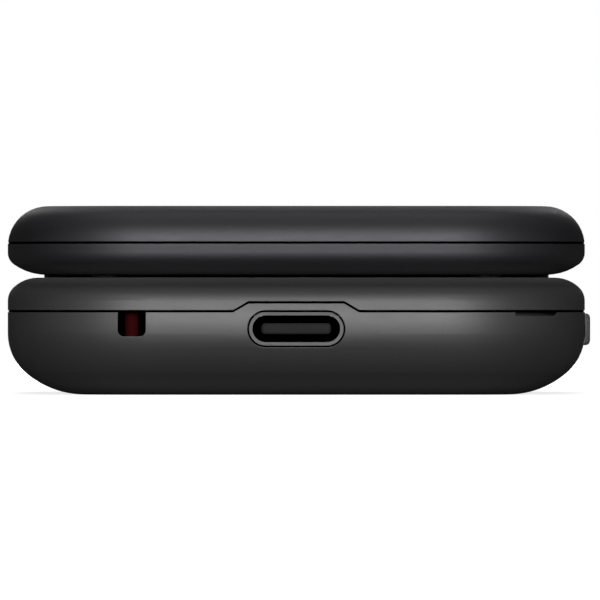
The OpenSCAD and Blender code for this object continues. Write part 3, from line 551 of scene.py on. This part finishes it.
def window_glass():
    """Panes backed with black print, clear over the dark screens and the flash, satin seen edge on."""
    paint = new_paint("window_glass", Specular_IOR_Level=0.3, Coat_Roughness=0.02, Coat_IOR=1.5)
    smear = paint.noise(14 * MM, 2.0, (1, 0.4, 1))
    pane = paint.mix((0.0035, 0.0035, 0.004), (0.011, 0.0125, 0.016), over_screens(paint))
    paint.set(Base_Color=paint.mix(pane, (0.42, 0.38, 0.22), over_flash(paint)))
    edge_on = paint.facing() ** 3.0
    paint.set(Roughness=0.06 + 0.06 * smear + 1.3 * edge_on)
    paint.set(Coat_Weight=(0.8 + 0.2 * smear) * (1.0 - 2.5 * edge_on).most(0.0))
    return paint.set(Normal=paint.bump(smear, 0.01 * MM))


def display_panel():
    paint = new_paint("display_panel")
    cloud = paint.noise(5 * MM)
    paint.set(Base_Color=paint.mix((0.013, 0.014, 0.018), (0.018, 0.020, 0.026), cloud))
    paint.set(Roughness=0.16 + 0.06 * cloud)
    return paint.set(Normal=paint.bump(cloud, 0.005 * MM))


def camera_trim():
    """Anodised aluminium, turned on its face so that its lines run round the lens."""
    paint = new_paint("camera_trim", Metallic=1.0)
    rings = paint.aside(middle_of(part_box("camera_ring"))).waves(0.09 * MM)
    cloud = paint.noise(1.5 * MM)
    paint.set(Base_Color=paint.mix((0.20, 0.20, 0.21), (0.30, 0.30, 0.31), rings * 0.5 + 0.5))
    paint.set(Roughness=0.28 + 0.1 * cloud)
    return paint.set(Normal=paint.bump(rings, 0.0015 * MM))


def lens_glass():
    """Clear pane over the camera, with the faint violet of its coating."""
    paint = new_paint("lens_glass", Transmission_Weight=1.0, IOR=1.5, Coat_Roughness=0.02)
    smear = paint.noise(5 * MM)
    paint.set(Base_Color=paint.mix((0.80, 0.84, 0.88), (0.86, 0.84, 0.92), smear))
    paint.set(Roughness=0.02 + 0.03 * smear, Coat_Weight=0.2 + 0.1 * smear)
    return paint.set(Normal=paint.bump(smear, 0.002 * MM))


def lens_dome(floor):
    """Coated lens that stands on floor, violet at its rim and blue-green at its crown."""
    paint = new_paint("lens_dome", Coat_IOR=1.6, Coat_Roughness=0.02)
    rise = (paint.axis("Z") - floor) / DOME_HEIGHT
    paint.set(Base_Color=paint.mix((0.004, 0.002, 0.012), (0.001, 0.010, 0.014), rise))
    paint.set(Roughness=0.05 + 0.02 * paint.noise(0.5 * MM))
    return paint.set(Coat_Weight=0.9 + 0.1 * paint.noise(1 * MM))


def flash_lens():
    """Phosphor under a lens of fine rings."""
    paint = new_paint("flash_lens", Coat_Weight=0.8, Coat_Roughness=0.05)
    reach = paint.aside(middle_of(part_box("flash_led")))
    chip = (1.0 - reach / (1.0 * MM)).most(0.0)
    rings = reach.waves(0.2 * MM)
    paint.set(Base_Color=paint.mix((0.62, 0.60, 0.50), (0.85, 0.72, 0.16), chip))
    paint.set(Roughness=0.2 + 0.05 * rings)
    return paint.set(Normal=paint.bump(rings, 0.02 * MM))


def flex_amber():
    paint = new_paint("flex_amber")
    lanes = paint.axis("X").waves(0.4 * MM) > 0.1
    paint.set(Base_Color=paint.mix((0.42, 0.15, 0.02), (0.62, 0.28, 0.06), lanes))
    paint.set(Roughness=0.3 + 0.1 * lanes)
    return paint.set(Normal=paint.bump(lanes, 0.01 * MM))


def print_ink(name, colour):
    """Printed legend: slightly uneven ink."""
    paint = new_paint(name)
    cloud = paint.noise(0.3 * MM, 2.0)
    paint.set(Base_Color=paint.mix(scaled(colour, 0.85), colour, cloud))
    return paint.set(Roughness=0.45 + 0.1 * cloud, Normal=paint.bump(cloud, 0.002 * MM))


FINISHES = (
    housing_black, lid_black, inner_plastic, key_black, nav_gloss, side_key_grey, post_red,
    port_steel, fastener_steel, tinned_steel, gold_contact, board_green, battery_wrap, unit_black,
    mesh_cloth, mat_silicone, dome_film, bumper_rubber, window_glass, display_panel, camera_trim,
    lens_glass, flash_lens, flex_amber,
)


def dress_nodes():
    """Gives every node of the model the finish of its slot in the record, and returns the finishes."""
    made = {make.__name__: make() for make in FINISHES}
    for row in frame["record"]["subparts"]:
        node = frame["nodes"][row["node"]]
        node.data.materials.clear()
        node.data.materials.append(made[row["material_slot"]])
    return made


# ---------- Outlines ----------


def in_mm(points):
    return [(a * MM, b * MM) for a, b in points]


def arc(centre, radius, start, end, steps):
    turns = [math.radians(start + (end - start) * i / steps) for i in range(steps + 1)]
    return [(centre[0] + radius * math.cos(t), centre[1] + radius * math.sin(t)) for t in turns]


def band(centre, radius, width, start, end, steps=24):
    """Outline of part of a ring."""
    outer = arc(centre, radius + width / 2, start, end, steps)
    return outer + arc(centre, radius - width / 2, end, start, steps)


def box_outline(centre, size):
    x, y = centre
    w, h = size[0] / 2, size[1] / 2
    return [(x - w, y - h), (x + w, y - h), (x + w, y + h), (x - w, y + h)]


def rounded_loop(width, height, radius, steps=6):
    """Closed outline of a rectangle with round corners, about its middle."""
    loop = []
    for sx, sy, start in ((1, 1, 0), (-1, 1, 90), (-1, -1, 180), (1, -1, 270)):
        centre = (sx * (width / 2 - radius), sy * (height / 2 - radius))
        loop += arc(centre, radius, start, start + 90, steps)
    return loop


def turned(outline, degrees):
    c, s = math.cos(math.radians(degrees)), math.sin(math.radians(degrees))
    return [(x * c - y * s, x * s + y * c) for x, y in outline]


def shifted(outline, place):
    return [(x + place[0], y + place[1]) for x, y in outline]


def handset():
    """A telephone receiver that lies on its back: a bowed handle with an ear and a mouth."""
    cups = [box_outline((side * 1.35, 0.12), (0.8, 0.72)) for side in (-1, 1)]
    return [band((0, -0.95), 1.65, 0.5, 35, 145)] + cups


# ---------- Mesh work ----------


def piece(name, mesh, material, body):
    """Puts a mesh into the scene as a named piece that rides on a body."""
    mesh.materials.clear()
    mesh.materials.append(material)
    made = bpy.data.objects.new(name, mesh)
    bpy.context.scene.collection.objects.link(made)
    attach(made, body)
    return made


def mesh_of(name, work):
    """Mesh of what work holds, with its faces turned outward."""
    bmesh.ops.recalc_face_normals(work, faces=work.faces)
    mesh = bpy.data.meshes.new(name)
    work.to_mesh(mesh)
    work.free()
    return mesh


def smooth(mesh, angle=30):
    for face in mesh.polygons:
        face.use_smooth = True
    mesh.set_sharp_from_angle(angle=math.radians(angle))
    return mesh


def spun(name, outline, centre, steps=64):
    """Mesh of an outline of (radius, height) points turned about an upright axis at centre."""
    work = bmesh.new()
    turns = [math.tau * i / steps for i in range(steps)]
    rings = []
    for radius, height in outline:
        if radius == 0:
            rings.append([work.verts.new((0, 0, height))] * steps)
            continue
        ring = [(radius * math.cos(t), radius * math.sin(t), height) for t in turns]
        rings.append([work.verts.new(point) for point in ring])
    for lower, upper in zip(rings, rings[1:]):
        for i in range(steps):
            j = (i + 1) % steps
            corners = dict.fromkeys((lower[i], lower[j], upper[j], upper[i]))
            if len(corners) > 2:
                work.faces.new(corners)
    mesh = mesh_of(name, work)
    mesh.transform(Matrix.Translation(centre))
    return smooth(mesh)


def lofted(name, loops):
    """Closed mesh through loops of as many points each, with flat ends."""
    work = bmesh.new()
    rows = [[work.verts.new(point) for point in loop] for loop in loops]
    for first, second in zip(rows, rows[1:]):
        for i in range(len(first)):
            j = (i + 1) % len(first)
            work.faces.new((first[i], first[j], second[j], second[i]))
    work.faces.new(rows[0])
    work.faces.new(rows[-1])
    return mesh_of(name, work)


# ---------- Legends ----------


def crown_height(key):
    """Height of a key's crowned top over X and Y, taken from its own mesh."""
    corners = [v.co for v in frame["nodes"][key].data.vertices]
    top = max(corner.z for corner in corners)
    low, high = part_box(key)
    middle = (low + high) / 2
    rim = [c for c in corners if abs(c.y - middle.y) < 0.4 * (high.y - low.y) and top - 0.6 * MM < c.z]
    far = max(rim, key=lambda c: abs(c.x - middle.x))
    reach = (far.x - middle.x) ** 2 + (far.y - middle.y) ** 2
    bend = (top - far.z) / reach if reach > 0 else 0
    return lambda x, y: top - bend * ((x - middle.x) ** 2 + (y - middle.y) ** 2)


def laid_on(mesh, key):
    """Moves a thin flat mesh from the origin to the middle of a key, and bends it onto the crown."""
    middle = middle_of(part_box(key))
    mesh.transform(Matrix.Translation((middle.x, middle.y, 0)))
    height = crown_height(key)
    for vertex in mesh.vertices:
        x, y, z = vertex.co
        vertex.co.z = height(x, y) + INK_LIFT + z
    return mesh


def number_legend(key, words):
    """A numeral printed in the middle of its key."""
    curve = bpy.data.curves.new(key + "_legend", "FONT")
    curve.body = words
    curve.size = NUMERAL_SIZE
    curve.align_x = "CENTER"
    curve.align_y = "CENTER"
    curve.extrude = INK
    curve.resolution_u = 4
    holder = bpy.data.objects.new(key + "_draft", curve)
    bpy.context.scene.collection.objects.link(holder)
    bpy.context.view_layer.update()
    mesh = bpy.data.meshes.new_from_object(holder)
    bpy.data.objects.remove(holder)
    return laid_on(mesh, key)


def sign(name, key, outlines, ink):
    """A printed sign of closed outlines, in millimetres from the middle of its key."""
    work = bmesh.new()
    for outline in outlines:
        face = work.faces.new([work.verts.new((x, y, 0)) for x, y in in_mm(outline)])
        grown = bmesh.ops.extrude_face_region(work, geom=[face])["geom"]
        top = [v for v in grown if isinstance(v, bmesh.types.BMVert)]
        bmesh.ops.translate(work, vec=(0, 0, INK), verts=top)
    return piece(name, laid_on(mesh_of(name, work), key), ink, key)


def print_legends():
    """Numerals and signs on the keys."""
    white = print_ink("ink_white", (0.72, 0.72, 0.70))
    green = print_ink("ink_green", (0.03, 0.50, 0.12))
    red = print_ink("ink_red", (0.62, 0.03, 0.03))
    words = {str(n): str(n) for n in range(1, 10)} | {"star": "*", "0": "0", "hash": "#"}
    for name, word in words.items():
        key = "key_" + name
        piece(key + "_legend", number_legend(key, word), white, key)
    sign("call_sign", "call_key", [turned(outline, 55) for outline in handset()], green)
    sign("end_sign", "end_key", handset(), red)
    dash = [box_outline((0, 0), (2.6, 0.45))]
    sign("soft_left_dash", "soft_key_left", dash, white)
    sign("soft_right_dash", "soft_key_right", dash, white)
    arrow = [[(-1.5, 0), (-0.3, 0.8), (-0.3, -0.8)], box_outline((0.6, 0), (1.8, 0.4))]
    sign("clear_arrow", "clear_key", arrow, white)
    circle = [band((0, 0), 1.3, 0.35, start, start + 180) for start in (0, 180)]
    sign("ok_circle", "ok_key", circle, white)
    low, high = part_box("nav_ring")
    inset = 2.6
    half_x = (high.x - low.x) / 2 / MM - inset
    half_y = (high.y - low.y) / 2 / MM - inset
    point = [(0, 0.55), (-0.6, -0.35), (0.6, -0.35)]
    for index, (name, x, y) in enumerate((("up", 0, 1), ("left", -1, 0), ("down", 0, -1), ("right", 1, 0))):
        mark = shifted(turned(point, 90 * index), (x * half_x, y * half_y))
        sign("nav_mark_" + name, "nav_ring", [mark], white)


# ---------- Gaskets, caps and grip ----------


def turn_of(a, b, c):
    return (b[0] - a[0]) * (c[1] - a[1]) - (b[1] - a[1]) * (c[0] - a[0])


def outline_at(node, height, reach=0.35 * MM):
    """Plan of a node round a height, as the points of its hull from the left of the hinge round the chin."""
    corners = [v.co for v in frame["nodes"][node].data.vertices if abs(v.co.z - height) < reach]
    chain = []
    for point in sorted({(round(c.x, 6), round(c.y, 6)) for c in corners}):
        while len(chain) > 1 and turn_of(chain[-2], chain[-1], point) <= 0:
            chain.pop()
        chain.append(point)
    return chain


def seam_lining(name, node, seam, body, material):
    """Thin gasket in the groove round the chin and the sides, whose near-black finish is painted shade in
    the seam.
    """
    chain = outline_at(node, seam)
    round_chin = [point for point in chain if point[1] < GASKET_END - 1 * MM]
    chain = [(chain[0][0], GASKET_END)] + round_chin + [(chain[-1][0], GASKET_END)]
    section = ((GASKET_OUT, -1), (GASKET_OUT, 1), (GASKET_IN, 1), (GASKET_IN, -1))
    loops = []
    for index, spot in enumerate(chain):
        before = chain[max(index - 1, 0)]
        after = chain[min(index + 1, len(chain) - 1)]
        along = Vector((after[0] - before[0], after[1] - before[1])).normalized()
        inward = Vector((-along.y, along.x))
        row = [(Vector(spot) + inward * depth, seam + side * GASKET_HALF) for depth, side in section]
        loops.append([(plan.x, plan.y, height) for plan, height in row])
    return piece(name, lofted(name, loops), material, body)


def line_seams():
    seam_shade = gasket_black()
    seam_lining("base_gasket_shade", "back_cover", BASE_SEAM, "base", seam_shade)
    seam_lining("lid_gasket_shade", "lid_frame", LID_SEAM, "lid", seam_shade)


def cap_hinge(finish):
    """Domed caps on both ends of the hinge barrel."""
    cap = in_mm([(0, 0.9), (1.9, 0.9), (2.25, 0.78), (2.45, 0.55), (2.5, 0.3), (2.5, -0.1), (0, -0.1)])
    for name, side in (("hinge_cap_left", -1), ("hinge_cap_right", 1)):
        mesh = spun(name, cap, (0, 0, 0))
        mesh.transform(Matrix.Rotation(side * math.pi / 2, 4, "Y"))
        mesh.transform(Matrix.Translation((side * EAR_END, HINGE_Y, HINGE_Z)))
        piece(name, mesh, finish["housing_black"], "base")


def grip_volume_key(finish):
    """Grip over the key's outer face, with rounded edges and a printed plus and minus."""
    low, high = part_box("volume_key")
    middle = (low + high) / 2
    face = high.x - GRIP_START
    height = high.z - low.z
    profile = in_mm([(0.0, 0.0), (0.55, 0.0), (0.75, 0.08), (0.87, 0.22), (0.93, 0.45)])
    loops = []
    for out, shrink in profile:
        loop = rounded_loop(GRIP_LENGTH - 2 * shrink, height - 2 * shrink, GRIP_CORNER)
        loops.append([(face + out, middle.y + y, middle.z + z) for y, z in loop])
    cap = smooth(lofted("volume_cap", loops))
    piece("volume_cap", cap, finish["side_key_grey"], "volume_key")
    top = face + profile[-1][0]
    ink = print_ink("ink_grey", (0.42, 0.42, 0.42))
    level, upright = (1.5, 0.35), (0.35, 1.5)
    for name, along, bars in (("volume_plus", 7.0, (level, upright)), ("volume_minus", -7.0, (level,))):
        work = bmesh.new()
        for wide, tall in bars:
            box = bmesh.ops.create_cube(work, size=1.0)["verts"]
            bmesh.ops.scale(work, vec=(0.03 * MM, wide * MM, tall * MM), verts=box)
            bmesh.ops.translate(work, vec=(top, middle.y + along * MM, middle.z), verts=box)
        piece(name, mesh_of(name, work), ink, "volume_key")


# ---------- Socket and camera ----------


def fill_socket(finish):
    """Tongue of the socket with its round edge, and the block that carries it."""
    x, z = PORT_MIDDLE
    width, height, corner = TONGUE
    start, end = (chin_y + depth for depth in TONGUE_ENDS)
    loops = []
    for y, shrink in ((start, 0.14), (start + 0.08 * MM, 0.04), (start + 0.2 * MM, 0.0), (end, 0.0)):
        loop = rounded_loop(width - 2 * shrink * MM, height - 2 * shrink * MM, corner)
        loops.append([(x + a, y, z + b) for a, b in loop])
    tongue = piece("tongue", smooth(lofted("tongue", loops)), tongue_plastic(), "base")
    back = [[(x + a, chin_y + depth, z + b) for a, b in rounded_loop(*ROOT)] for depth in ROOT_ENDS]
    root = smooth(lofted("tongue_root", back))
    piece("tongue_root", root, finish["inner_plastic"], "base")
    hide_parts("usb_tongue")


def build_camera(finish):
    """Lens and collar in the camera's well."""
    low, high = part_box("camera_glass")
    middle = (low + high) / 2
    floor = high.z - WELL_DEPTH
    centre = (middle.x, middle.y, floor)
    slopes = [math.radians(a) for a in range(0, 91, 9)]
    dome = [(DOME_RADIUS * math.sin(a), DOME_HEIGHT * math.cos(a)) for a in slopes] + [(0, 0)]
    piece("camera_lens", spun("camera_lens", dome, centre), lens_dome(floor), "lid")
    ring = in_mm([(1.27, 0.0), (1.27, 0.32), (1.5, 0.38), (1.62, 0.3), (1.45, 0.0)])
    collar = spun("camera_collar", ring + ring[:1], centre)
    piece("camera_collar", collar, finish["camera_trim"], "lid")


# ---------- Stage, light, camera ----------

# The camera looks at this point of the chin from SIGHT away, and sees FRAME_WIDTH there
CENTRE_X = 0.353 * MM
CENTRE_Z = 9.007 * MM
SIGHT = 2.4
FRAME_WIDTH = 56.87 * MM
SENSOR = 12.0

# Half the floor's width, its height, and how far from the phone its shadow is kept
FLOOR_REACH = 6.0
FLOOR_Z = -0.02 * MM
SHADOW_REACH = 0.12

# Brightness of the air by the horizon and overhead, as it lights the phone
DIM = 0.008
CEILING = 0.12

# Lamps: place, size and radiance. All face AIM
AIM = (0, 0, 9 * MM)
LAMPS = {
    "front": ((0, -1.03, 0.21), (0.44, 0.36), 26.0),
    "left": ((-1.2, -0.35, 0.14), (0.5, 0.25), 1.0),
    "right": ((1.2, -0.35, 0.14), (0.5, 0.25), 0.9),
    "overhead": ((0, 0.3, 1.3), (0.9, 0.9), 0.75),
    "back": ((0, 1.1, 0.5), (0.3, 0.5), 10.0),
}


def place_camera():
    """Level with the phone, far off on a long lens, looking at its chin."""
    camera = bpy.data.cameras.new("camera")
    camera.type = "PERSP"
    camera.sensor_width = SENSOR
    camera.lens = SENSOR * SIGHT / FRAME_WIDTH
    camera.clip_start = 0.1
    camera.clip_end = 3 * FLOOR_REACH
    stand = bpy.data.objects.new("camera", camera)
    stand.location = (CENTRE_X, chin_y - SIGHT, CENTRE_Z)
    stand.rotation_euler = (math.pi / 2, 0, 0)
    bpy.context.scene.collection.objects.link(stand)
    bpy.context.scene.camera = stand


def pale(paint, direct, mirrored, otherwise):
    """One of three values: for rays from the camera or through glass, off a surface, and all others."""
    rays = "ShaderNodeLightPath"
    straight = paint.node(rays, out="Is Camera Ray").most(paint.node(rays, out="Is Transmission Ray"))
    glossy = paint.node(rays, out="Is Glossy Ray")
    return otherwise + (direct - otherwise) * straight + (mirrored - otherwise) * glossy * (1.0 - straight)


def lay_floor():
    """White ground that keeps the phone's shadow and merges with the background farther off."""
    sides = ((-1, -1), (1, -1), (1, 1), (-1, 1))
    mesh = bpy.data.meshes.new("floor")
    mesh.from_pydata([(x * FLOOR_REACH, y * FLOOR_REACH, FLOOR_Z) for x, y in sides], [], [range(4)])
    paint = new_paint("floor_white", Roughness=1.0, Specular_IOR_Level=0.0)
    tone = pale(paint, 0.9, 0.06, 0.06)
    paint.set(Base_Color=paint.mix((0, 0, 0), (1, 1, 1), tone), Emission_Color=(1, 1, 1))
    far = ((paint.aside(Vector((0, 0))) - SHADOW_REACH) / SHADOW_REACH).held()
    paint.set(Emission_Strength=pale(paint, 0.8 + 0.2 * far, 0.02, 0.0))
    mesh.materials.append(paint.owner)
    floor = bpy.data.objects.new("floor", mesh)
    bpy.context.scene.collection.objects.link(floor)


def softbox(name, place, size, radiance):
    """A rectangular lamp of size at place that faces AIM, and shines with the given radiance."""
    lamp = bpy.data.lights.new(name, "AREA")
    lamp.shape = "RECTANGLE"
    lamp.size, lamp.size_y = size
    lamp.energy = radiance * math.pi * size[0] * size[1]
    stand = bpy.data.objects.new(name, lamp)
    stand.location = place
    stand.rotation_euler = (Vector(AIM) - Vector(place)).to_track_quat("-Z", "Y").to_euler()
    bpy.context.scene.collection.objects.link(stand)


def light_scene():
    for name, (place, size, radiance) in LAMPS.items():
        softbox(name, place, size, radiance)
    world = bpy.data.worlds.new("studio")
    bpy.context.scene.world = world
    air = Paint(world, "Background")
    height = air.axis("Z", air.node("ShaderNodeTexCoord", out="Generated"))
    overhead = ((height - 0.35) / 0.4).held()
    air.set(Color=(1, 1, 1), Strength=pale(air, 1.0, DIM + (CEILING - DIM) * overhead, DIM))
    bpy.context.scene.view_settings.view_transform = "Standard"


place_camera()
lay_floor()
light_scene()
finishes = dress_nodes()
print_legends()
line_seams()
cap_hinge(finishes)
grip_volume_key(finishes)
fill_socket(finishes)
build_camera(finishes)
